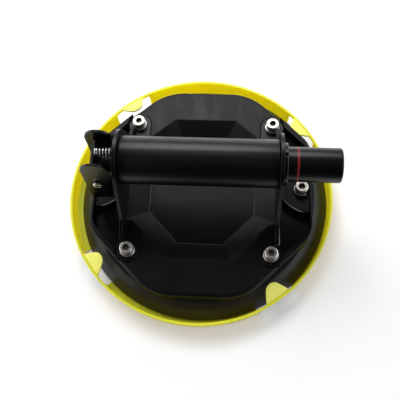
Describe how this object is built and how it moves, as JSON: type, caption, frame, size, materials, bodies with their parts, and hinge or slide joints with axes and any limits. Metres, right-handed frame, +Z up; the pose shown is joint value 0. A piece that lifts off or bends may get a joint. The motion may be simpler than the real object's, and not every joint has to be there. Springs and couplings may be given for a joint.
{
  "type": "hand-pump vacuum lifter",
  "caption": "Round hand-pump suction lifter with a tube handle, plunger pump and release lever, standing in its yellow clip-on pad cover.",
  "frame": {"origin": "centre of the pad cover's flat underside", "axes": "+X along the handle towards the pump plunger, +Y across the handle, +Z up, away from the surface that the pad grips"},
  "size_m": [0.2162, 0.2162, 0.0995],
  "materials": {
    "cover_plastic": "smooth moulded yellow plastic",
    "pad_rubber": "matt black rubber",
    "filter_felt": "pale sintered felt",
    "plate_steel": "zinc plated sheet",
    "base_plastic": "fine-textured black nylon",
    "screw_nickel": "bright nickel plate",
    "black_steel": "satin black powder coat",
    "black_aluminium": "satin black anodised tube",
    "barrel_aluminium": "drawn aluminium",
    "black_plastic": "black acetal",
    "plunger_plastic": "satin black acetal",
    "ring_red": "dark red plastic",
    "seal_rubber": "black rubber",
    "spring_steel": "bright spring wire",
    "brass": "turned brass",
    "lever_steel": "satin black powder coat",
    "hose_rubber": "black hose"
  },
  "bodies": {
    "root": {"pad_cover": "cover_plastic", "vacuum_pad": "pad_rubber", "filter_disc": "filter_felt", "pad_plate": "plate_steel", "base_body": "base_plastic", "mounting_screws": "screw_nickel", "screw_washers": "screw_nickel", "plate_nuts": "screw_nickel", "left_bracket": "black_steel", "right_bracket": "black_steel", "handle_tube": "black_aluminium", "pump_barrel": "barrel_aluminium", "gland_nut": "black_plastic", "return_spring": "spring_steel", "barrel_head": "black_aluminium", "head_oring": "seal_rubber", "stem_bush": "brass", "flap_valve": "seal_rubber", "lever_clevis": "black_steel", "clevis_rivets": "screw_nickel", "pivot_pin": "screw_nickel", "pivot_nut": "screw_nickel", "spring_post": "black_steel", "lever_spring": "spring_steel", "nose_barb": "brass", "port_fitting": "brass", "vacuum_hose": "hose_rubber"},
    "plunger": {"plunger": "plunger_plastic", "indicator_ring": "ring_red", "piston": "black_plastic", "piston_seal": "seal_rubber"},
    "lever": {"release_lever": "lever_steel"},
    "stem": {"release_stem": "brass"}
  },
  "joints": [
    {"name": "plunger_slide", "type": "slide", "parent": "root", "child": "plunger", "axis": [1, 0, 0], "range_m": [-0.038, 0], "stiffness_N_per_m": 120, "springref_m": 0.02, "deforming": ["return_spring"]},
    {"name": "lever_hinge", "type": "hinge", "parent": "root", "child": "lever", "pos_m": [-0.076, 0, 0.065], "axis": [0, 1, 0], "range_deg": [0, 9], "stiffness_Nm_per_rad": 0.3, "springref_deg": -17.19, "deforming": ["lever_spring"]},
    {"name": "stem_slide", "type": "slide", "parent": "root", "child": "stem", "axis": [1, 0, 0], "range_m": [0, 0.0012]}
  ],
  "couplings": [
    {"joint": "stem_slide", "follows": "lever_hinge", "m_per_rad": 0.007}
  ]
}
